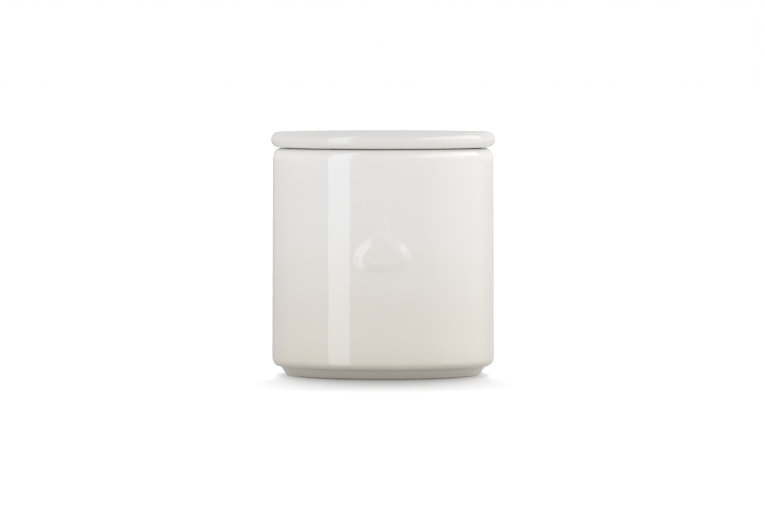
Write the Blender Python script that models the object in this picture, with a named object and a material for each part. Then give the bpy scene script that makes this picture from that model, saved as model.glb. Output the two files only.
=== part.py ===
"""Garlic keeper: a round glazed stoneware jar with a loose lid.

The frame: origin at the middle of the standing plane, +Z up, the raised garlic bulb towards -Y.
All lengths are in metres. Both pieces are turned shapes: a half section is written as a list of
corners, each corner is eased into an arc, and the section is spun about the Z axis.
"""

import math

import bmesh
import bpy
from mathutils import Vector

# Jar, outside
JAR_HEIGHT = 0.1109          # standing plane to the rim, where the lid rests
RIM_RADIUS = 0.0540          # outer wall at the rim
BELLY_RADIUS = 0.0543        # outer wall at the bottom, a touch wider than the rim
SHOULDER_DROP = 0.0048       # how far down the wall the rim's outer rounding reaches
SHOULDER_WIDTH = 0.0038      # how far in over the rim it reaches
CORNER_RISE = 0.0040         # how far up the wall the bottom corner's rounding reaches
CORNER_WIDTH = 0.0034        # how far in under the wall it reaches

# Jar, sloped foot and standing ring
FOOT_HEIGHT = 0.0042
FOOT_TOP_RADIUS = 0.0504     # where the foot leaves the underside of the wall
FOOT_RADIUS = 0.0474         # where the foot meets the standing plane
FOOT_EDGE = 0.0007           # rounding of the standing ring's edges
RING_WIDTH = 0.0044          # flat ring of clay that the jar stands on
RECESS_DEPTH = 0.0018        # hollow inside the standing ring
RECESS_EASE = 0.0012

# Jar, inside
WALL = 0.0060
FLOOR_THICKNESS = 0.0057
MOUTH_EASE = 0.0012          # rounding of the rim's inner edge
FLOOR_EASE = 0.0080          # rounding where the wall meets the floor inside

# Jar, garlic bulb raised on the front
BULB_BOTTOM = 0.0523         # height of its lowest point above the standing plane
BULB_HEIGHT = 0.0222         # without the stem
BULB_HALF_WIDTH = 0.0143
BULB_RELIEF = 0.0013         # how far its middle stands proud of the wall
BULB_CENTRE_SHARE = 0.39     # height of the dome's middle, as a share of the bulb's height
BULB_OUTLINE_SHARES = (      # right half, bottom to top: half widths and heights
    (0.00, 0.00), (0.42, 0.015), (0.76, 0.075), (0.95, 0.185), (1.00, 0.32), (0.93, 0.465),
    (0.74, 0.62), (0.50, 0.745), (0.30, 0.855), (0.17, 0.95), (0.00, 1.00),
)
STEM_LENGTH = 0.0104
STEM_HALF_WIDTH = 0.0029
STEM_RELIEF = 0.0011
STEM_OVERLAP = 0.0051        # how far the stem runs down into the bulb
STEM_CENTRE_SHARE = 0.5
STEM_OUTLINE_SHARES = (
    (0.00, 0.00), (0.70, 0.04), (1.00, 0.20), (1.00, 0.50), (0.96, 0.85), (0.72, 0.98),
    (0.00, 1.00),
)

# Jar, air holes in the back wall
VENT_COUNT = 3
VENT_RADIUS = 0.0030
VENT_EASE = 0.0008           # countersink at both mouths of a hole
VENT_PITCH = 0.0150          # from one hole to the next, along the wall
VENT_HEIGHT = 0.0840         # centre line of the row above the standing plane

# Lid
LID_RADIUS = 0.05485
LID_THICKNESS = 0.0077       # the edge is rounded over this whole thickness
LID_HOLLOW = 0.0012          # how far the underside is hollowed inside the locating ring
COLLAR_DEPTH = 0.0070        # locating ring that drops into the mouth
COLLAR_WIDTH = 0.0045
COLLAR_EASE = 0.0012
COLLAR_ROOT_EASE = 0.0005    # small fillet where the locating ring meets the seat

# Fits
COLLAR_CLEARANCE = 0.0012    # all round between the locating ring and the mouth
SEAT_CLEARANCE = 0.0003      # between the lid's seat and the rim
CUT_OVERRUN = 0.0020         # how far a cutter reaches past what it cuts
MERGE_DISTANCE = 0.000003    # points this close are one

# How finely the round shapes are divided
TURN_STEPS = 72
EASE_STEPS = 3
ROUND_STEPS = 6
OUTLINE_STEPS = 2
DOME_STEPS = 5
VENT_STEPS = 20
DOME_POWER = 3               # a flat middle with soft flanks
SHARP_ANGLE = math.radians(40)
GLAZE_COLOR = (0.70, 0.67, 0.61, 1.0)
GLAZE_ROUGHNESS = 0.12

# Sizes that follow from the ones above
MOUTH_RADIUS = RIM_RADIUS - WALL
FLOOR_RADIUS = BELLY_RADIUS - WALL
FLOOR_HEIGHT = RECESS_DEPTH + FLOOR_THICKNESS
COLLAR_RADIUS = MOUTH_RADIUS - COLLAR_CLEARANCE
BULLNOSE = LID_THICKNESS / 2


def clear_scene():
    """Remove whatever the opened file holds."""
    for old in list(bpy.data.objects):
        bpy.data.objects.remove(old, do_unlink=True)


def eased_corner(before, corner, after, length_in, length_out, steps):
    """Points of a conic arc that leaves one side and joins the next, tangent to both."""
    if not length_in or not length_out:
        return [corner]
    start = corner + (before - corner).normalized() * length_in
    end = corner + (after - corner).normalized() * length_out
    turn = (corner - before).angle(after - corner)
    pull = math.cos(turn / 2)
    points = []
    for step in range(steps + 1):
        t = step / steps
        weights = ((1 - t) ** 2, 2 * t * (1 - t) * pull, t ** 2)
        total = sum(weights)
        points.append((start * weights[0] + corner * weights[1] + end * weights[2]) / total)
    return points


def section_from(corners):
    """Ease every corner (radius, height, length in, length out, steps) of a half section."""
    places = [Vector((radius, height)) for radius, height, *_ in corners]
    points = [places[0]]
    for index in range(1, len(corners) - 1):
        points += eased_corner(places[index - 1], places[index], places[index + 1],
                               *corners[index][2:])
    points.append(places[-1])
    return points


def object_from(name, bm):
    """Merge doubles, turn the faces outwards and make a smooth-shaded object."""
    bmesh.ops.remove_doubles(bm, verts=bm.verts, dist=MERGE_DISTANCE)
    bmesh.ops.recalc_face_normals(bm, faces=bm.faces)
    mesh = bpy.data.meshes.new(name)
    bm.to_mesh(mesh)
    bm.free()
    mesh.shade_smooth()
    mesh.set_sharp_from_angle(angle=SHARP_ANGLE)
    made = bpy.data.objects.new(name, mesh)
    bpy.context.collection.objects.link(made)
    return made


def turned(name, section, steps):
    """Spin a half section, which starts and ends on the Z axis, into a closed solid."""
    bm = bmesh.new()
    verts = [bm.verts.new((radius, 0, height)) for radius, height in section]
    edges = [bm.edges.new(pair) for pair in zip(verts, verts[1:])]
    bmesh.ops.spin(bm, geom=verts + edges, cent=(0, 0, 0), axis=(0, 0, 1),
                   angle=math.tau, steps=steps, use_merge=True)
    return object_from(name, bm)


def jar_section():
    """The jar from the middle of its underside, round the outside, to the middle of its floor."""
    ring_inside = FOOT_RADIUS - RING_WIDTH
    return section_from([
        (0, RECESS_DEPTH, 0, 0, 1),
        (ring_inside, RECESS_DEPTH, RECESS_EASE, RECESS_EASE, EASE_STEPS),
        (ring_inside, 0, FOOT_EDGE / 2, FOOT_EDGE / 2, EASE_STEPS),
        (FOOT_RADIUS, 0, FOOT_EDGE, FOOT_EDGE, EASE_STEPS),
        (FOOT_TOP_RADIUS, FOOT_HEIGHT, 0, 0, 1),
        (BELLY_RADIUS, FOOT_HEIGHT, CORNER_WIDTH, CORNER_RISE, ROUND_STEPS),
        (RIM_RADIUS, JAR_HEIGHT, SHOULDER_DROP, SHOULDER_WIDTH, ROUND_STEPS),
        (MOUTH_RADIUS, JAR_HEIGHT, MOUTH_EASE, MOUTH_EASE, EASE_STEPS),
        (FLOOR_RADIUS, FLOOR_HEIGHT, FLOOR_EASE, FLOOR_EASE, ROUND_STEPS),
        (0, FLOOR_HEIGHT, 0, 0, 1),
    ])


def lid_section():
    """The lid from the middle of its underside, round the locating ring, to the middle on top."""
    collar_inside = COLLAR_RADIUS - COLLAR_WIDTH
    return section_from([
        (0, LID_HOLLOW, 0, 0, 1),
        (collar_inside, LID_HOLLOW, COLLAR_EASE, COLLAR_EASE, EASE_STEPS),
        (collar_inside, -COLLAR_DEPTH, COLLAR_EASE, COLLAR_EASE, EASE_STEPS),
        (COLLAR_RADIUS, -COLLAR_DEPTH, COLLAR_EASE, COLLAR_EASE, EASE_STEPS),
        (COLLAR_RADIUS, 0, COLLAR_ROOT_EASE, COLLAR_ROOT_EASE, EASE_STEPS),
        (LID_RADIUS, 0, BULLNOSE, BULLNOSE, ROUND_STEPS),
        (LID_RADIUS, LID_THICKNESS, BULLNOSE, BULLNOSE, ROUND_STEPS),
        (0, LID_THICKNESS, 0, 0, 1),
    ])


def wall_radius(height):
    """Radius of the jar's outer wall, which runs straight from the belly to the rim."""
    share = (height - FOOT_HEIGHT) / (JAR_HEIGHT - FOOT_HEIGHT)
    return BELLY_RADIUS + (RIM_RADIUS - BELLY_RADIUS) * share


def smooth_loop(points, steps):
    """A closed Catmull-Rom curve through the points."""
    count = len(points)
    loop = []
    for index in range(count):
        a, b, c, d = (points[(index + shift) % count] for shift in (-1, 0, 1, 2))
        for step in range(steps):
            t = step / steps
            loop.append((b * 2 + (c - a) * t + (a * 2 - b * 5 + c * 4 - d) * t ** 2
                         + (b * 3 - a - c * 3 + d) * t ** 3) / 2)
    return loop


def figure_outline(shares, half_width, bottom, height):
    """A closed outline, flat: across and up, from the shares of its right half."""
    right = [Vector((across * half_width, bottom + up * height)) for across, up in shares]
    left = [Vector((-point.x, point.y)) for point in reversed(right[1:-1])]
    return smooth_loop(right + left, OUTLINE_STEPS)


def on_wall(across, height, proud):
    """Wrap a flat place round the front of the jar, that far proud of the wall."""
    radius = wall_radius(height) + proud
    angle = across / RIM_RADIUS
    return (radius * math.sin(angle), -radius * math.cos(angle), height)


def raised_figure(name, outline, centre_height, relief):
    """A domed solid rooted in the front wall: loops that shrink as they rise."""
    centre = Vector((0, centre_height))
    levels = [(1, -WALL / 2)]
    for step in range(DOME_STEPS):
        size = math.sqrt(1 - step / DOME_STEPS)
        levels.append((size, relief * (1 - size ** DOME_POWER)))
    bm = bmesh.new()
    loops = []
    for size, proud in levels:
        places = [centre + (point - centre) * size for point in outline]
        verts = [bm.verts.new(on_wall(*place, proud)) for place in places]
        loops.append([bm.edges.new(pair) for pair in zip(verts, verts[1:] + verts[:1])])
    for lower, upper in zip(loops, loops[1:]):
        bmesh.ops.bridge_loops(bm, edges=lower + upper)
    for loop, proud in ((loops[0], -WALL / 2), (loops[-1], relief)):
        tip = bm.verts.new(on_wall(*centre, proud))
        for edge in loop:
            bm.faces.new((*edge.verts, tip))
    return object_from(name, bm)


def raised_bulb():
    """The garlic bulb without its stem."""
    outline = figure_outline(BULB_OUTLINE_SHARES, BULB_HALF_WIDTH, BULB_BOTTOM, BULB_HEIGHT)
    return raised_figure("bulb", outline, BULB_BOTTOM + BULB_HEIGHT * BULB_CENTRE_SHARE,
                         BULB_RELIEF)


def raised_stem():
    """The bulb's short stem, which grows out of its top."""
    bottom = BULB_BOTTOM + BULB_HEIGHT - STEM_OVERLAP
    outline = figure_outline(STEM_OUTLINE_SHARES, STEM_HALF_WIDTH, bottom, STEM_LENGTH)
    return raised_figure("stem", outline, bottom + STEM_LENGTH * STEM_CENTRE_SHARE,
                         STEM_RELIEF)


def vent_cutter(index):
    """A pin with a flared head at each end, square to the back wall."""
    reach = WALL / 2 + CUT_OVERRUN
    flare = VENT_RADIUS + VENT_EASE + CUT_OVERRUN
    waist = WALL / 2 - VENT_EASE
    section = [Vector(place) for place in (
        (0, -reach), (flare, -reach), (VENT_RADIUS, -waist),
        (VENT_RADIUS, waist), (flare, reach), (0, reach))]
    cutter = turned(f"vent_cutter_{index + 1}", section, VENT_STEPS)
    radius = wall_radius(VENT_HEIGHT)
    angle = (index - (VENT_COUNT - 1) / 2) * VENT_PITCH / radius
    outwards = Vector((math.sin(angle), math.cos(angle), 0))
    cutter.location = outwards * (radius - WALL / 2) + Vector((0, 0, VENT_HEIGHT))
    cutter.rotation_euler = outwards.to_track_quat("Z", "Y").to_euler()
    return cutter


def combine(target, tool, operation):
    """Join a hidden tool solid to the target, or cut it out."""
    boolean = target.modifiers.new(tool.name, "BOOLEAN")
    boolean.operation = operation
    boolean.solver = "EXACT"
    boolean.object = tool
    tool.display_type = "WIRE"
    tool.hide_render = True


def stoneware_glaze(name):
    """Pale gloss glaze over fired clay."""
    material = bpy.data.materials.new(name)
    material.use_nodes = True
    shader = material.node_tree.nodes["Principled BSDF"]
    shader.inputs["Base Color"].default_value = GLAZE_COLOR
    shader.inputs["Roughness"].default_value = GLAZE_ROUGHNESS
    shader.inputs["Metallic"].default_value = 0
    return material


def make_jar():
    """The jar: turned, with the bulb joined to its front and the air holes cut in its back."""
    jar = turned("jar", jar_section(), TURN_STEPS)
    jar.data.materials.append(stoneware_glaze("jar_glaze"))
    for figure in (raised_bulb(), raised_stem()):
        combine(jar, figure, "UNION")
    for index in range(VENT_COUNT):
        combine(jar, vent_cutter(index), "DIFFERENCE")


def make_lid():
    """The lid: turned about its own seat plane, then set on the rim."""
    lid = turned("lid", lid_section(), TURN_STEPS)
    lid.data.materials.append(stoneware_glaze("lid_glaze"))
    lid.location.z = JAR_HEIGHT + SEAT_CLEARANCE


clear_scene()
make_jar()
make_lid()
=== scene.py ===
# %% [markdown]
# # A glazed stoneware garlic keeper
# The object is two pieces of fired clay: a round jar with a garlic bulb raised on its front, and a
# loose flat lid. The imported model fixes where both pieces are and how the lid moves. This script
# makes their fine surfaces, the glaze and the bare clay, and a plain white studio around them.
# Lengths are in metres unless a name or a comment says otherwise.

# %% The fixed frame
import math

import bmesh
import bpy
import numpy as np
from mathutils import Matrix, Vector


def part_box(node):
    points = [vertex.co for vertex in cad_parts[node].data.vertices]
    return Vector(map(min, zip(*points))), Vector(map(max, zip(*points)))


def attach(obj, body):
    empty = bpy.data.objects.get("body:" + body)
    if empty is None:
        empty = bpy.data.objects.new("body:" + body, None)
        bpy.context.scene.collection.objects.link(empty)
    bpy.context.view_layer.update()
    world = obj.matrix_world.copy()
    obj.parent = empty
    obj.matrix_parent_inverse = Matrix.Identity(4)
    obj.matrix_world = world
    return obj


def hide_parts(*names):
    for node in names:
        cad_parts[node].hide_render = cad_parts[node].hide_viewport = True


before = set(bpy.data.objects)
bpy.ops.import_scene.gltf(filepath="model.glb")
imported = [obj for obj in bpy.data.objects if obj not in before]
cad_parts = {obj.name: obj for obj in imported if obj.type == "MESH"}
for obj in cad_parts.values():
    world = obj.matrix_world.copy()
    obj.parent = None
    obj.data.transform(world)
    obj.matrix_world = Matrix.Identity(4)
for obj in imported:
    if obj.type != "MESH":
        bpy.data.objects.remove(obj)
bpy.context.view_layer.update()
jar_low, jar_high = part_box("jar")
lid_low, lid_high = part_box("lid")
print("jar from", jar_low, "to", jar_high)
print("lid from", lid_low, "to", lid_high)

# %% [markdown]
# ## The camera
# The photograph was taken from far away with a long lens, a little above the object, so the jar's
# sides stay parallel and its round edges look almost straight. A camera with the same view needs
# the distance, the height and the tilt. The lens follows from how many pixels wide the jar is.
# The Standard view shows a colour as it is written, with no film look over it.

# %% Camera
PHOTO_WIDTH = 765
JAR_WIDTH_PIXELS = 220.5
JAR_WIDTH = 0.108
CAMERA_DISTANCE = 3.033
CAMERA_HEIGHT = 0.1638
CAMERA_TILT = math.radians(1.990)
CAMERA_ASIDE = -0.0003  # the jar stands a hair to the right of the picture's middle
SENSOR_WIDTH_MM = 36

camera_data = bpy.data.cameras.new("camera")
camera_data.sensor_fit = "HORIZONTAL"
camera_data.sensor_width = SENSOR_WIDTH_MM
focal_pixels = JAR_WIDTH_PIXELS * CAMERA_DISTANCE / JAR_WIDTH
camera_data.lens = SENSOR_WIDTH_MM * focal_pixels / PHOTO_WIDTH
camera = bpy.data.objects.new("camera", camera_data)
camera.location = (CAMERA_ASIDE, -CAMERA_DISTANCE, CAMERA_HEIGHT)
camera.rotation_euler = (math.pi / 2 - CAMERA_TILT, 0, 0)
bpy.context.collection.objects.link(camera)
bpy.context.scene.camera = camera
bpy.context.scene.view_settings.view_transform = "Standard"
print("lens in mm", round(camera_data.lens, 1))

# %% [markdown]
# ## A turned section
# A potter's wheel makes round things from one outline. Blender's spin operator does the same: it
# turns a row of points about an axis. The outline could be typed point by point, but it is easier
# to read as a few corners, each with how far its rounding reaches along the side before it and
# along the side after it. Two helper points mark these reaches, and a vertex bevel of 100 percent
# then draws the round between them. Two unlike reaches give an arc of an ellipse.

# %% Section helpers
MERGE_DISTANCE = 0.000002
TURN_STEPS = 240  # faces round the axis
SMALL_STEPS = 6  # segments of a small rounding
ROUND_STEPS = 14  # segments of a large one


def rounded_section(corners):
    """A wire outline in the XZ plane: (radius, height, reach before, reach after, segments)."""
    bm = bmesh.new()
    places = [Vector((radius, 0, height)) for radius, height, *_ in corners]
    verts = [bm.verts.new(places[0])]
    to_round = []
    for index in range(1, len(corners) - 1):
        corner, (before, after, segments) = places[index], corners[index][2:]
        if segments:
            back = (places[index - 1] - corner).normalized()
            verts.append(bm.verts.new(corner + back * before))
        verts.append(bm.verts.new(corner))
        if segments:
            to_round.append((verts[-1], segments))
            ahead = (places[index + 1] - corner).normalized()
            verts.append(bm.verts.new(corner + ahead * after))
    verts.append(bm.verts.new(places[-1]))
    for pair in zip(verts, verts[1:]):
        bm.edges.new(pair)
    for vert, segments in to_round:
        bmesh.ops.bevel(bm, geom=[vert], offset=100, offset_type="PERCENT", segments=segments,
                        profile=0.5, affect="VERTICES", material=-1)
    bmesh.ops.remove_doubles(bm, verts=bm.verts, dist=MERGE_DISTANCE)
    return bm


def spin_section(bm, steps):
    """Turn the outline all the way round the Z axis, closed at the axis, faces outwards."""
    bmesh.ops.spin(bm, geom=bm.verts[:] + bm.edges[:], cent=(0, 0, 0), axis=(0, 0, 1),
                   angle=math.tau, steps=steps, use_merge=True)
    bmesh.ops.remove_doubles(bm, verts=bm.verts, dist=MERGE_DISTANCE)
    bmesh.ops.recalc_face_normals(bm, faces=bm.faces)
    return bm


# %% [markdown]
# ## The jar's body
# The jar stands on a narrow ring of bare clay under a sloped foot. Above the foot the wall starts
# with a small ledge and a rounded corner, then runs straight up to a soft shoulder under the lid.
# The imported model's sizes are repeated here, so the fine jar fills the same space. Only the foot's
# lower edge is rounded a little less. The two long edges of the wall are cut into short ones, for
# the relief and the air holes later.

# %% Jar section
JAR_HEIGHT = jar_high.z
RIM_RADIUS = 0.0540
BELLY_RADIUS = 0.0543
SHOULDER_DROP = 0.0048
SHOULDER_WIDTH = 0.0038
CORNER_RISE = 0.0040
CORNER_WIDTH = 0.0034
FOOT_HEIGHT = 0.0042
FOOT_TOP_RADIUS = 0.0504
FOOT_RADIUS = 0.0474
FOOT_EDGE = 0.0004
CREASE_EASE = 0.0003
RING_WIDTH = 0.0044
RECESS_DEPTH = 0.0018
RECESS_EASE = 0.0012
WALL = 0.0060
FLOOR_THICKNESS = 0.0057
MOUTH_EASE = 0.0012
FLOOR_EASE = 0.0080
WALL_ROW = 0.0014  # height of one row of faces on the wall

MOUTH_RADIUS = RIM_RADIUS - WALL
FLOOR_HEIGHT = RECESS_DEPTH + FLOOR_THICKNESS
RING_INSIDE = FOOT_RADIUS - RING_WIDTH

jar_mesh = rounded_section([
    (0, RECESS_DEPTH, 0, 0, 0),
    (RING_INSIDE, RECESS_DEPTH, RECESS_EASE, RECESS_EASE, SMALL_STEPS),
    (RING_INSIDE, 0, FOOT_EDGE / 2, FOOT_EDGE / 2, SMALL_STEPS),
    (FOOT_RADIUS, 0, FOOT_EDGE, FOOT_EDGE, SMALL_STEPS),
    (FOOT_TOP_RADIUS, FOOT_HEIGHT, CREASE_EASE, CREASE_EASE / 2, SMALL_STEPS),
    (BELLY_RADIUS, FOOT_HEIGHT, CORNER_WIDTH, CORNER_RISE, ROUND_STEPS),
    (RIM_RADIUS, JAR_HEIGHT, SHOULDER_DROP, SHOULDER_WIDTH, ROUND_STEPS),
    (MOUTH_RADIUS, JAR_HEIGHT, MOUTH_EASE, MOUTH_EASE, SMALL_STEPS),
    (BELLY_RADIUS - WALL, FLOOR_HEIGHT, FLOOR_EASE, FLOOR_EASE, ROUND_STEPS),
    (0, FLOOR_HEIGHT, 0, 0, 0),
])
wall_edges = [edge for edge in jar_mesh.edges if edge.calc_length() > JAR_HEIGHT / 2]
bmesh.ops.subdivide_edges(jar_mesh, edges=wall_edges, cuts=round(JAR_HEIGHT / WALL_ROW))
spin_section(jar_mesh, TURN_STEPS)
print("jar faces after the spin", len(jar_mesh.faces))

# %% [markdown]
# ## Finer faces where they are needed
# A raised figure or a hole needs smaller faces than a plain wall. Dividing the whole wall would
# waste most of them, so only the faces inside a window are divided. The new points lie on straight
# edges, a hair inside the round wall, so they are moved back out to its true radius.

# %% Window helpers
WINDOW_MARGIN = 0.004
WINDOW_CUTS = 3


def wall_radius(height):
    """Radius of the outer wall, which runs straight from the belly to the rim."""
    share = (height - FOOT_HEIGHT) / (JAR_HEIGHT - FOOT_HEIGHT)
    return BELLY_RADIUS + (RIM_RADIUS - BELLY_RADIUS) * share


def on_wall(place, azimuth):
    """How far round the wall this place is from an azimuth; the front is azimuth 0."""
    turn = math.atan2(place.x, -place.y) - azimuth
    return RIM_RADIUS * math.atan2(math.sin(turn), math.cos(turn))


def refine_wall(bm, azimuth, half_width, low, high, inset=0):
    """Divide the wall's faces in a window and return its points; inset WALL is the inner side."""
    def inside(place):
        return (abs(place.xy.length - wall_radius(place.z) + inset) < WALL / 2
                and low - WINDOW_MARGIN < place.z < high + WINDOW_MARGIN
                and abs(on_wall(place, azimuth)) < half_width + WINDOW_MARGIN)

    faces = [face for face in bm.faces if inside(face.calc_center_median())]
    edges = list({edge for face in faces for edge in face.edges})
    bmesh.ops.subdivide_edges(bm, edges=edges, cuts=WINDOW_CUTS, use_grid_fill=True)
    verts = [vert for vert in bm.verts if inside(vert.co)]
    for vert in verts:
        vert.co.xy = vert.co.xy.normalized() * (wall_radius(vert.co.z) - inset)
    return verts


# %% [markdown]
# ## A cushion on the wall
# On the real jar the mould has the garlic bulb cut into it, so the clay stands proud and the glaze
# runs softly over it. A separate stuck-on shape would show a seam. Instead each point of the wall
# moves outwards by the height of a low cushion: a flank all round, and level in the middle. Its
# outline is a smooth closed curve through a few shares of its size.

# %% Cushion helpers
OUTLINE_STEPS = 30


def smooth_loop(points, steps):
    """A closed Catmull-Rom curve through the points, as an array of places."""
    a, b, c, d = (np.roll(points, shift, axis=0) for shift in (1, 0, -1, -2))
    spans = []
    for t in np.arange(steps) / steps:
        spans.append((b * 2 + (c - a) * t + (a * 2 - b * 5 + c * 4 - d) * t ** 2
                      + (b * 3 - a - c * 3 + d) * t ** 3) / 2)
    return np.stack(spans, axis=1).reshape(-1, 2)


def cushion(shares, half_width, bottom, height, relief, flank):
    """A function of (across, up) for the height of a cushion; flank is how wide its slope is."""
    right = np.array(shares) * (half_width, height) + (0, bottom)
    left = right[-2:0:-1] * (-1, 1)
    outline = smooth_loop(np.concatenate((right, left)), OUTLINE_STEPS)
    ahead = np.roll(outline, -1, axis=0)

    def height_at(across, up):
        reach = np.hypot(outline[:, 0] - across, outline[:, 1] - up).min()
        above, next_above = outline[:, 1] > up, ahead[:, 1] > up
        step_up = np.where(above == next_above, 1, ahead[:, 1] - outline[:, 1])
        share = (up - outline[:, 1]) / step_up
        crossing = outline[:, 0] + share * (ahead[:, 0] - outline[:, 0])
        inside = np.count_nonzero((above != next_above) & (crossing > across)) % 2
        return relief * min(reach / flank, 1) if inside else 0

    return height_at


# %% [markdown]
# ## The raised garlic bulb
# The bulb and its stem are two cushions, and where they overlap the higher one counts. Each outline
# is given for its right half, from the bottom up, in shares of the half width and the height. Last,
# the points are smoothed a few times, which rounds the hollows and ridges as a coat of glaze does.

# %% Bulb
BULB_BOTTOM = 0.0514
BULB_HEIGHT = 0.0231
BULB_HALF_WIDTH = 0.0140
BULB_RELIEF = 0.0013
BULB_FLANK = 0.0042
BULB_OUTLINE_SHARES = (
    (0.00, 0.00), (0.42, 0.015), (0.76, 0.075), (0.95, 0.185), (1.00, 0.32), (0.93, 0.465),
    (0.75, 0.60), (0.54, 0.715), (0.34, 0.81), (0.20, 0.91), (0.00, 1.00),
)
STEM_LENGTH = 0.0104
STEM_HALF_WIDTH = 0.0031
STEM_RELIEF = 0.0005
STEM_FLANK = 0.0020
STEM_OVERLAP = 0.0051
STEM_OUTLINE_SHARES = (
    (0.00, 0.00), (0.70, 0.04), (1.00, 0.20), (0.95, 0.50), (0.80, 0.80), (0.50, 0.96),
    (0.00, 1.00),
)
SMOOTHINGS = 5
SMOOTHING_FACTOR = 0.5

stem_bottom = BULB_BOTTOM + BULB_HEIGHT - STEM_OVERLAP
bulb = cushion(BULB_OUTLINE_SHARES, BULB_HALF_WIDTH, BULB_BOTTOM, BULB_HEIGHT,
               BULB_RELIEF, BULB_FLANK)
stem = cushion(STEM_OUTLINE_SHARES, STEM_HALF_WIDTH, stem_bottom, STEM_LENGTH,
               STEM_RELIEF, STEM_FLANK)
window = refine_wall(jar_mesh, 0, BULB_HALF_WIDTH, BULB_BOTTOM, stem_bottom + STEM_LENGTH)
for vert in window:
    across, up = on_wall(vert.co, 0), vert.co.z
    proud = max(bulb(across, up), stem(across, up))
    vert.co.xy = vert.co.xy.normalized() * (wall_radius(up) + proud)
for _ in range(SMOOTHINGS):
    bmesh.ops.smooth_vert(jar_mesh, verts=window, factor=SMOOTHING_FACTOR,
                          use_axis_x=True, use_axis_y=True, use_axis_z=True)
print("jar faces with the bulb", len(jar_mesh.faces))

# %% [markdown]
# ## A cutter for the air holes
# Garlic keeps when air gets to it, so such a jar has a few small holes. The photograph shows none
# on the front, and they are put in the back wall. A cutter with a flared mouth at each end leaves
# the soft edge that glaze has round a hole. It is turned like the jar, then set square to the wall.

# %% Air hole cutters
VENT_COUNT = 3
VENT_RADIUS = 0.0030
VENT_EASE = 0.0010
VENT_PITCH = 0.0150
VENT_HEIGHT = 0.0840
VENT_STEPS = 48
CUT_OVERRUN = 0.0020


def make_object(name, bm):
    """A smooth-shaded object from a bmesh."""
    mesh = bpy.data.meshes.new(name)
    bm.to_mesh(mesh)
    bm.free()
    mesh.shade_smooth()
    made = bpy.data.objects.new(name, mesh)
    bpy.context.collection.objects.link(made)
    return made


def vent_cutter(index):
    """A pin whose ends flare out just where they leave the wall."""
    half, flare = WALL / 2, VENT_RADIUS + VENT_EASE
    bm = rounded_section([
        (0, -half - CUT_OVERRUN, 0, 0, 0),
        (flare, -half - CUT_OVERRUN, 0, 0, 0),
        (flare, -half, 0, 0, 0),
        (VENT_RADIUS, -half, VENT_EASE, VENT_EASE, SMALL_STEPS),
        (VENT_RADIUS, half, VENT_EASE, VENT_EASE, SMALL_STEPS),
        (flare, half, 0, 0, 0),
        (flare, half + CUT_OVERRUN, 0, 0, 0),
        (0, half + CUT_OVERRUN, 0, 0, 0),
    ])
    cutter = make_object(f"vent_cutter_{index + 1}", spin_section(bm, VENT_STEPS))
    radius = wall_radius(VENT_HEIGHT)
    angle = (index - (VENT_COUNT - 1) / 2) * VENT_PITCH / radius
    outwards = Vector((math.sin(angle), math.cos(angle), 0))
    cutter.location = outwards * (radius - half) + Vector((0, 0, VENT_HEIGHT))
    cutter.rotation_euler = outwards.to_track_quat("Z", "Y").to_euler()
    return cutter


# %% [markdown]
# ## Cutting the air holes
# A boolean leaves long thin faces round a hole in a coarse wall, and they catch the light wrongly.
# So both sides of the back wall get finer faces first. Then a boolean takes each cutter away from
# the jar, the result becomes the jar's own mesh, and the cutters are deleted.

# %% Air holes
vent_half_row = VENT_PITCH * (VENT_COUNT - 1) / 2 + VENT_RADIUS
for inset in (0, WALL):
    refine_wall(jar_mesh, math.pi, vent_half_row, VENT_HEIGHT - VENT_RADIUS,
                VENT_HEIGHT + VENT_RADIUS, inset)
jar = make_object("glazed_jar", jar_mesh)
cutters = [vent_cutter(index) for index in range(VENT_COUNT)]
for cutter in cutters:
    cut = jar.modifiers.new(cutter.name, "BOOLEAN")
    cut.operation = "DIFFERENCE"
    cut.solver = "EXACT"
    cut.object = cutter
bpy.context.view_layer.update()
cut_jar = jar.evaluated_get(bpy.context.evaluated_depsgraph_get())
jar.data = bpy.data.meshes.new_from_object(cut_jar)
jar.modifiers.clear()
for cutter in cutters:
    bpy.data.objects.remove(cutter, do_unlink=True)
print("jar faces with the holes", len(jar.data.polygons))

# %% [markdown]
# ## The lid
# The lid is one flat disc with a full round edge. Underneath, a ring drops into the mouth with a
# little play all round and keeps the lid from sliding off. It is one section and one spin.

# %% Lid
LID_RADIUS = 0.05485
SEAT_CLEARANCE = 0.0003
LID_BOTTOM = JAR_HEIGHT + SEAT_CLEARANCE
LID_TOP = lid_high.z
LID_HOLLOW = 0.0012
COLLAR_BOTTOM = lid_low.z
COLLAR_WIDTH = 0.0045
COLLAR_EASE = 0.0012
COLLAR_ROOT_EASE = 0.0005
COLLAR_CLEARANCE = 0.0012

collar_outside = MOUTH_RADIUS - COLLAR_CLEARANCE
collar_inside = collar_outside - COLLAR_WIDTH
bullnose = (LID_TOP - LID_BOTTOM) / 2
lid_mesh = rounded_section([
    (0, LID_BOTTOM + LID_HOLLOW, 0, 0, 0),
    (collar_inside, LID_BOTTOM + LID_HOLLOW, COLLAR_EASE, COLLAR_EASE, SMALL_STEPS),
    (collar_inside, COLLAR_BOTTOM, COLLAR_EASE, COLLAR_EASE, SMALL_STEPS),
    (collar_outside, COLLAR_BOTTOM, COLLAR_EASE, COLLAR_EASE, SMALL_STEPS),
    (collar_outside, LID_BOTTOM, COLLAR_ROOT_EASE, COLLAR_ROOT_EASE, SMALL_STEPS),
    (LID_RADIUS, LID_BOTTOM, bullnose, bullnose, ROUND_STEPS),
    (LID_RADIUS, LID_TOP, bullnose, bullnose, ROUND_STEPS),
    (0, LID_TOP, 0, 0, 0),
])
lid = make_object("glazed_lid", spin_section(lid_mesh, TURN_STEPS))
print("lid faces", len(lid.data.polygons))

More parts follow.
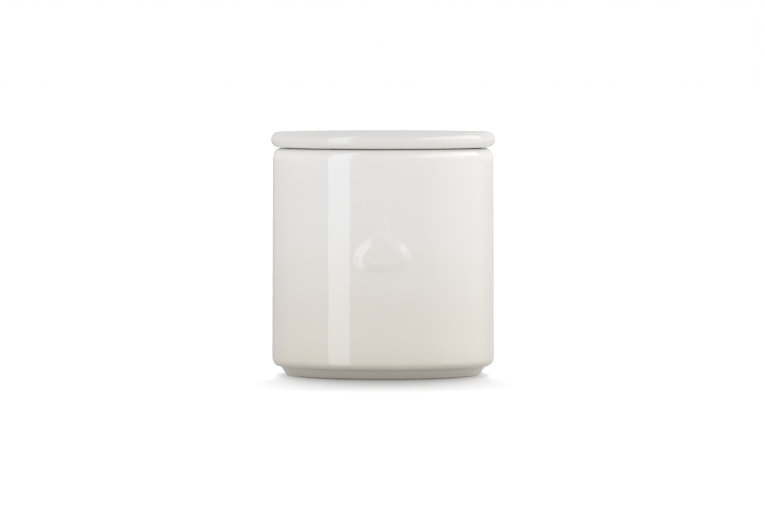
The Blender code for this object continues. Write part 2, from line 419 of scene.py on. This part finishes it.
# %% [markdown]
# ## Helpers for colours and nodes
# Colours are written as they look on a screen, in hex, and turned into the linear light that the
# shader works with. One function adds any node, sets its values and links its inputs, so that a
# material reads as a list of steps. An input is named, or counted where several share a name.

# %% Material helpers
def linear(code):
    """A colour's linear values from its sRGB hex code, by the curve of the sRGB standard."""
    channels = [int(code[place:place + 2], 16) / 255 for place in (1, 3, 5)]
    return [c / 12.92 if c <= 0.04045 else ((c + 0.055) / 1.055) ** 2.4 for c in channels] + [1.0]


def add(tree, kind, settings=None, links=None):
    """Add a node, set its properties and inputs, and link its inputs from other sockets."""
    node = tree.nodes.new(kind)
    for name, value in (settings or {}).items():
        if isinstance(name, int) or name in node.inputs:
            node.inputs[name].default_value = value
        else:
            setattr(node, name, value)
    for name, socket in (links or {}).items():
        tree.links.new(socket, node.inputs[name])
    return node


def new_material(name):
    """A material with the plain shader, and the place that its patterns are drawn in."""
    material = bpy.data.materials.new(name)
    material.use_nodes = True
    tree = material.node_tree
    place = add(tree, "ShaderNodeTexCoord").outputs["Object"]
    return material, tree, tree.nodes["Principled BSDF"], place


# %% [markdown]
# ## The colour of the glaze
# The glaze is a coat of glass over pale clay, sprayed on and fired. It is cool white above and runs
# to a warm cream towards the foot, and it clouds slightly where the coat is thicker. A colour ramp
# over the height gives the tones, and with them painted light and shade: painted shade makes the
# wall darker towards the bottom, and painted light lifts the foot and the shoulder under the lid.
# A wide noise shifts the heights a little, so that the tones don't meet in level lines, and the same
# noise makes the coat a trace lighter or darker.

# %% Glaze colour
MM = 0.001
CLOUD_SIZE = 28 * MM
CLOUD_DRIFT = 3 * MM
CLOUD_DARKEST = 0.985
CLOUD_LIGHTEST = 1.015


def glaze_tone(tree, place, tones, top):
    """The colour socket; tones are (height share, hex) from the foot up to the height top."""
    cloud = add(tree, "ShaderNodeTexNoise", {"Scale": 1 / CLOUD_SIZE, "Detail": 3.0},
                {"Vector": place}).outputs["Fac"]
    height = add(tree, "ShaderNodeSeparateXYZ", links={"Vector": place}).outputs["Z"]
    drift = add(tree, "ShaderNodeMapRange", {"To Min": -CLOUD_DRIFT, "To Max": CLOUD_DRIFT},
                {"Value": cloud}).outputs["Result"]
    level = add(tree, "ShaderNodeMath", {"operation": "ADD"}, {0: height, 1: drift}).outputs[0]
    share = add(tree, "ShaderNodeMapRange", {"From Max": top}, {"Value": level}).outputs["Result"]
    ramp = add(tree, "ShaderNodeValToRGB", links={"Fac": share})
    ramp.color_ramp.interpolation = "B_SPLINE"
    stops = ramp.color_ramp.elements
    while len(stops) < len(tones):
        stops.new(0.5)
    for stop, (position, code) in zip(stops, tones):
        stop.position = position
        stop.color = linear(code)
    thickness = add(tree, "ShaderNodeMapRange", {
        "To Min": CLOUD_DARKEST, "To Max": CLOUD_LIGHTEST}, {"Value": cloud}).outputs["Result"]
    return add(tree, "ShaderNodeHueSaturation", links={
        "Color": ramp.outputs["Color"], "Value": thickness}).outputs["Color"]


# %% [markdown]
# ## The surface of the glaze
# Its own melt draws the glaze smooth, so it mirrors lamps with sharp edges, but it is never quite
# flat: wide, very low waves bend those edges a little, and finer ones give the faint orange peel of
# a sprayed coat. The roughness of a fired gloss is near 0.05, and varies in soft patches.

# %% Glaze surface
PATCH_SIZE = 9 * MM
PATCH_GLOSSIEST = 0.03
PATCH_DULLEST = 0.06
WAVE_SIZE = 18 * MM
WAVE_HEIGHT = 0.06 * MM
PEEL_SIZE = 2.2 * MM
PEEL_HEIGHT = 0.002 * MM


def glaze_gloss(tree, place):
    """The roughness socket."""
    patch = add(tree, "ShaderNodeTexNoise", {"Scale": 1 / PATCH_SIZE, "Detail": 2.0},
                {"Vector": place}).outputs["Fac"]
    return add(tree, "ShaderNodeMapRange", {
        "To Min": PATCH_GLOSSIEST, "To Max": PATCH_DULLEST}, {"Value": patch}).outputs["Result"]


def glaze_relief(tree, place):
    """The normal socket: the waves, and the orange peel on them."""
    wave = add(tree, "ShaderNodeTexNoise", {"Scale": 1 / WAVE_SIZE, "Detail": 0.0},
               {"Vector": place}).outputs["Fac"]
    waves = add(tree, "ShaderNodeBump", {"Distance": WAVE_HEIGHT},
                {"Height": wave}).outputs["Normal"]
    peel = add(tree, "ShaderNodeTexNoise", {"Scale": 1 / PEEL_SIZE, "Detail": 1.0},
               {"Vector": place}).outputs["Fac"]
    return add(tree, "ShaderNodeBump", {"Distance": PEEL_HEIGHT},
               {"Height": peel, "Normal": waves}).outputs["Normal"]


# %% [markdown]
# ## Gloss stoneware glaze
# One function joins the colour and the surface, and the two pieces get tones of their own: the jar
# runs from cream to white, with painted shade low on the wall and painted light at the foot and the
# shoulder, and the lid has the plain white. Glass has an IOR of about 1.5.

# %% Glaze
GLAZE_IOR = 1.5
# The jar's stops are partly the glaze's tone and partly painted light: the darker stops low on the
# wall are painted shade, and the light stops at the foot and at the shoulder under the lid are
# painted light.
JAR_TONES_PAINTED_LIGHT_AND_SHADE = (
    (0.0, "#E9DDCD"), (0.10, "#E6E0D8"), (0.25, "#DCD7CE"), (0.41, "#DCD8D2"), (0.56, "#DDDAD7"),
    (0.84, "#DEDCDA"), (0.95, "#DEDCDA"), (0.98, "#E5E3E0"),
)
LID_TONES = ((0.0, "#DAD8D4"), (1.0, "#DAD8D4"))


def glaze(name, tones, top):
    """Gloss glaze on a piece whose top is at this height."""
    material, tree, shader, place = new_material(name)
    shader.inputs["IOR"].default_value = GLAZE_IOR
    tree.links.new(glaze_tone(tree, place, tones, top), shader.inputs["Base Color"])
    tree.links.new(glaze_gloss(tree, place), shader.inputs["Roughness"])
    tree.links.new(glaze_relief(tree, place), shader.inputs["Normal"])
    return material


jar.data.materials.append(glaze("gloss_glaze_tones_painted_light_and_shade", JAR_TONES_PAINTED_LIGHT_AND_SHADE, JAR_HEIGHT))
lid.data.materials.append(glaze("gloss_glaze_white", LID_TONES, LID_TOP))
print("glazes", jar.data.materials[0].name, lid.data.materials[0].name)

# %% [markdown]
# ## Bare clay
# Glaze would weld the jar to the kiln shelf, so the ring that it stands on is wiped clean before
# firing, and so is the bottom edge of the lid's ring. What shows there is the fired clay itself:
# warm, dull and slightly gritty. Real grit is finer than this, which is drawn coarse enough to
# show. The faces are chosen by where they are.

# %% Bare clay
GLAZE_LINE = 0.0004  # how far up the bare clay reaches
CLAY_ROUGHNESS = 0.85
GRIT_SIZE = 0.8 * MM
GRIT_HEIGHT = 0.05 * MM
GRIT_TONES = ((0.35, "#BFB29D"), (0.65, "#D3C8B6"))


def bare_clay():
    """Fired white stoneware without glaze, with fine grit."""
    material, tree, shader, place = new_material("bare_fired_stoneware")
    shader.inputs["Roughness"].default_value = CLAY_ROUGHNESS
    grit = add(tree, "ShaderNodeTexNoise", {"Scale": 1 / GRIT_SIZE, "Detail": 3.0},
               {"Vector": place}).outputs["Fac"]
    ramp = add(tree, "ShaderNodeValToRGB", links={"Fac": grit})
    for stop, (position, code) in zip(ramp.color_ramp.elements, GRIT_TONES):
        stop.position = position
        stop.color = linear(code)
    tree.links.new(ramp.outputs["Color"], shader.inputs["Base Color"])
    rough = add(tree, "ShaderNodeBump", {"Distance": GRIT_HEIGHT}, {"Height": grit})
    tree.links.new(rough.outputs["Normal"], shader.inputs["Normal"])
    return material


clay = bare_clay()
for piece, bottom in ((jar, 0), (lid, COLLAR_BOTTOM)):
    piece.data.materials.append(clay)
    clay_index = piece.data.materials.find(clay.name)
    bare = [face for face in piece.data.polygons
            if face.center.z < bottom + GLAZE_LINE and face.center.xy.length > RING_INSIDE - WALL]
    for face in bare:
        face.material_index = clay_index
    print(piece.name, "faces of bare clay", len(bare))

# %% [markdown]
# ## The floor
# The object stands on white paper that runs out of sight. In a photograph for a shop the paper is
# lit until it is pure white, and only the soft shadow by the foot is left. The camera sees a matt
# paper that takes that shadow. The jar meets a glow from the paper instead, a painted light, which
# has a painted shadow near the foot where the jar would shade the paper: so the jar's front doesn't
# get darker than its sides.
# Mirror rays pass the paper by and find the room, which is as white.

# %% Floor
FLOOR_REACH = 20.0
PAPER_COLOR = "#A0A0A0"
GLOW_NEAR = 0.16
GLOW_FAR = 1.05
GLOW_EDGE = 0.120

paper_mesh = bmesh.new()
bmesh.ops.create_grid(paper_mesh, x_segments=1, y_segments=1, size=FLOOR_REACH)
paper = make_object("paper_floor", paper_mesh)
paper.visible_glossy = False
paper_material, tree, shader, place = new_material("matt_white_paper")
shader.inputs["Base Color"].default_value = linear(PAPER_COLOR)
shader.inputs["Roughness"].default_value = 1.0
shader.inputs["Specular IOR Level"].default_value = 0.0
path = add(tree, "ShaderNodeLightPath")
seen = add(tree, "ShaderNodeMath", {"operation": "MAXIMUM"}, {
    0: path.outputs["Is Camera Ray"], 1: path.outputs["Is Transmission Ray"]}).outputs[0]
away = add(tree, "ShaderNodeVectorMath", {"operation": "LENGTH"}, {0: place}).outputs["Value"]
# Painted shadow of the jar: the paper's glow is dimmest at the foot and full from GLOW_EDGE
# outwards.
level = add(tree, "ShaderNodeMapRange", {
    "From Min": FOOT_RADIUS, "From Max": GLOW_EDGE, "To Min": GLOW_NEAR, "To Max": GLOW_FAR,
}, {"Value": away}).outputs["Result"]
glow = add(tree, "ShaderNodeEmission", links={"Strength": level}).outputs["Emission"]
both = add(tree, "ShaderNodeMixShader", links={0: seen, 1: glow, 2: shader.outputs["BSDF"]})
tree.links.new(both.outputs["Shader"], tree.nodes["Material Output"].inputs["Surface"])
paper.data.materials.append(paper_material)
print("paper from the foot's edge at", FOOT_RADIUS, "to full glow at", GLOW_EDGE)

# %% [markdown]
# ## Lamps for the paper
# More light on everything would burn out the pale glaze, so the paper gets lamps of its own, which
# light nothing else. Suns at several tilts from behind add up to one broad light. Its shadow is
# dark at the foot and fades towards the viewer. A small lamp at each side opens the shadow there.

# %% Lamps for the paper
# Each sun has its tilt from overhead and its spread, both in degrees, and its strength.
PAPER_SUNS = ((4, 18, 1.5), (20, 18, 1.5), (38, 22, 1.6), (60, 64, 6.2))
SIDE_LAMP_ASIDE = 0.085
SIDE_LAMP_HEIGHT = 0.020
SIDE_LAMP_RADIUS = 0.012
SIDE_LAMP_WATTS = 0.22

paper_only = bpy.data.collections.new("paper_only")
paper_only.objects.link(paper)


def paper_lamp(name, kind, watts):
    """A lamp that lights the paper and nothing else."""
    lamp = bpy.data.objects.new(name, bpy.data.lights.new(name, kind))
    lamp.data.energy = watts
    lamp.light_linking.receiver_collection = paper_only
    bpy.context.collection.objects.link(lamp)
    return lamp


for index, (tilt, spread, strength) in enumerate(PAPER_SUNS):
    sun = paper_lamp(f"paper_sun_{index + 1}", "SUN", strength)
    sun.data.angle = math.radians(spread)
    sun.rotation_euler = (-math.radians(tilt), 0, 0)
for name, side in (("left_paper_lamp", -1), ("right_paper_lamp", 1)):
    lamp = paper_lamp(name, "POINT", SIDE_LAMP_WATTS)
    lamp.data.shadow_soft_size = SIDE_LAMP_RADIUS
    lamp.location = (side * SIDE_LAMP_ASIDE, 0, SIDE_LAMP_HEIGHT)
    lamp.visible_camera = False

# %% [markdown]
# ## The room
# What a glossy white jar shows is mostly the room it stands in. The room here is the world: an even
# white with a few soft pools of more or less light, each around one direction. The level is one
# number for the light that it gives and another for its mirror image. Only the camera, and anything
# seen through clear glass, gets pure white in its place, as a white backdrop.

# %% Room
ROOM_LEVEL = 1.1
MIRRORED_LEVEL = 1.0
# Each pool has its azimuth and elevation, the angle from there to where it starts to fade and to
# where it ends, all in degrees, and how much light it adds or takes away.
POOLS = (
    (92, 8, 8, 52, 0.60),
    (-60, 5, 5, 50, 0.22),
    (-148, 0, 12, 42, -0.20),
    (180, 2, 6, 18, -0.25),
    (0, 90, 10, 80, -0.30),
    (0, -90, 88, 90.5, -0.25),
)


def direction_to(azimuth, elevation):
    """The direction at so many degrees to the right of the front, and so many degrees up."""
    turn, rise = math.radians(azimuth), math.radians(elevation)
    return Vector((math.sin(turn) * math.cos(rise), -math.cos(turn) * math.cos(rise),
                   math.sin(rise)))


world = bpy.data.worlds.new("studio")
bpy.context.scene.world = world
world.use_nodes = True
tree = world.node_tree
direction = add(tree, "ShaderNodeTexCoord").outputs["Generated"]
path = add(tree, "ShaderNodeLightPath")
level = add(tree, "ShaderNodeMapRange", {"To Min": ROOM_LEVEL, "To Max": MIRRORED_LEVEL},
            {"Value": path.outputs["Is Glossy Ray"]}).outputs["Result"]
for azimuth, elevation, inner, outer, gain in POOLS:
    axis = direction_to(azimuth, elevation)
    facing = add(tree, "ShaderNodeVectorMath", {"operation": "DOT_PRODUCT", 1: axis},
                 {0: direction}).outputs["Value"]
    pool = add(tree, "ShaderNodeMapRange", {
        "interpolation_type": "SMOOTHSTEP", "From Min": math.cos(math.radians(outer)),
        "From Max": math.cos(math.radians(inner)), "To Max": gain,
    }, {"Value": facing}).outputs["Result"]
    level = add(tree, "ShaderNodeMath", {"operation": "ADD"}, {0: level, 1: pool}).outputs[0]
white = add(tree, "ShaderNodeMath", {"operation": "MAXIMUM"}, {
    0: path.outputs["Is Camera Ray"], 1: path.outputs["Is Transmission Ray"]}).outputs[0]
strength = add(tree, "ShaderNodeMapRange", {"To Max": 1.0}, {"Value": white, "To Min": level})
background = tree.nodes["Background"]
tree.links.new(strength.outputs["Result"], background.inputs["Strength"])
background.inputs["Color"].default_value = linear("#FFFFFF")
print("pools of light in the room", len(POOLS))

# %% [markdown]
# ## Two softboxes
# The sharp upright band on the left of the jar is the mirror image of a tall, narrow softbox. The
# bright spots on the lid's right edge and on the bulb's right shoulder come from a wide one, high
# on the right. A softbox's place follows from its image: light that leaves a round wall towards
# the viewer came in at twice the angle that the wall has turned away from the viewer. The room
# already gives all the soft light, so these two rectangular area lamps only show in the gloss.

# %% Softboxes
SOFTBOX_DISTANCE = 1.2
# Each softbox has its name, its azimuth in degrees, the height of its middle, the degrees that it
# leans down, its width and height, its watts and its tint.
SOFTBOXES = (
    ("strip_softbox", -45.9, 0.85, 0, 0.505, 3.3, 12.2, "#D8ECFF"),
    ("wide_softbox", 84, 0.90, 35, 2.4, 0.82, 11, "#FFFFFF"),
)

for name, azimuth, middle, lean, width, height, watts, tint in SOFTBOXES:
    area = bpy.data.lights.new(name, "AREA")
    area.shape = "RECTANGLE"
    area.size = width
    area.size_y = height
    area.energy = watts
    area.color = linear(tint)[:3]
    softbox = bpy.data.objects.new(name, area)
    softbox.location = direction_to(azimuth, 0) * SOFTBOX_DISTANCE + Vector((0, 0, middle))
    softbox.rotation_euler = (-direction_to(azimuth, lean)).to_track_quat("-Z", "Y").to_euler()
    softbox.visible_camera = False
    softbox.visible_diffuse = False
    bpy.context.collection.objects.link(softbox)
    print(name, "at", [round(value, 2) for value in softbox.location])

# %% [markdown]
# ## Which piece is which
# Each piece rides on the body that it belongs to, so the lid lifts when its joint moves. The plain
# solid of the same name is hidden, and the fine piece fills its place.

# %% Pieces and bodies
for piece, node, slot in ((jar, "jar", "jar_glaze"), (lid, "lid", "lid_glaze")):
    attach(piece, node)
    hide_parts(node)
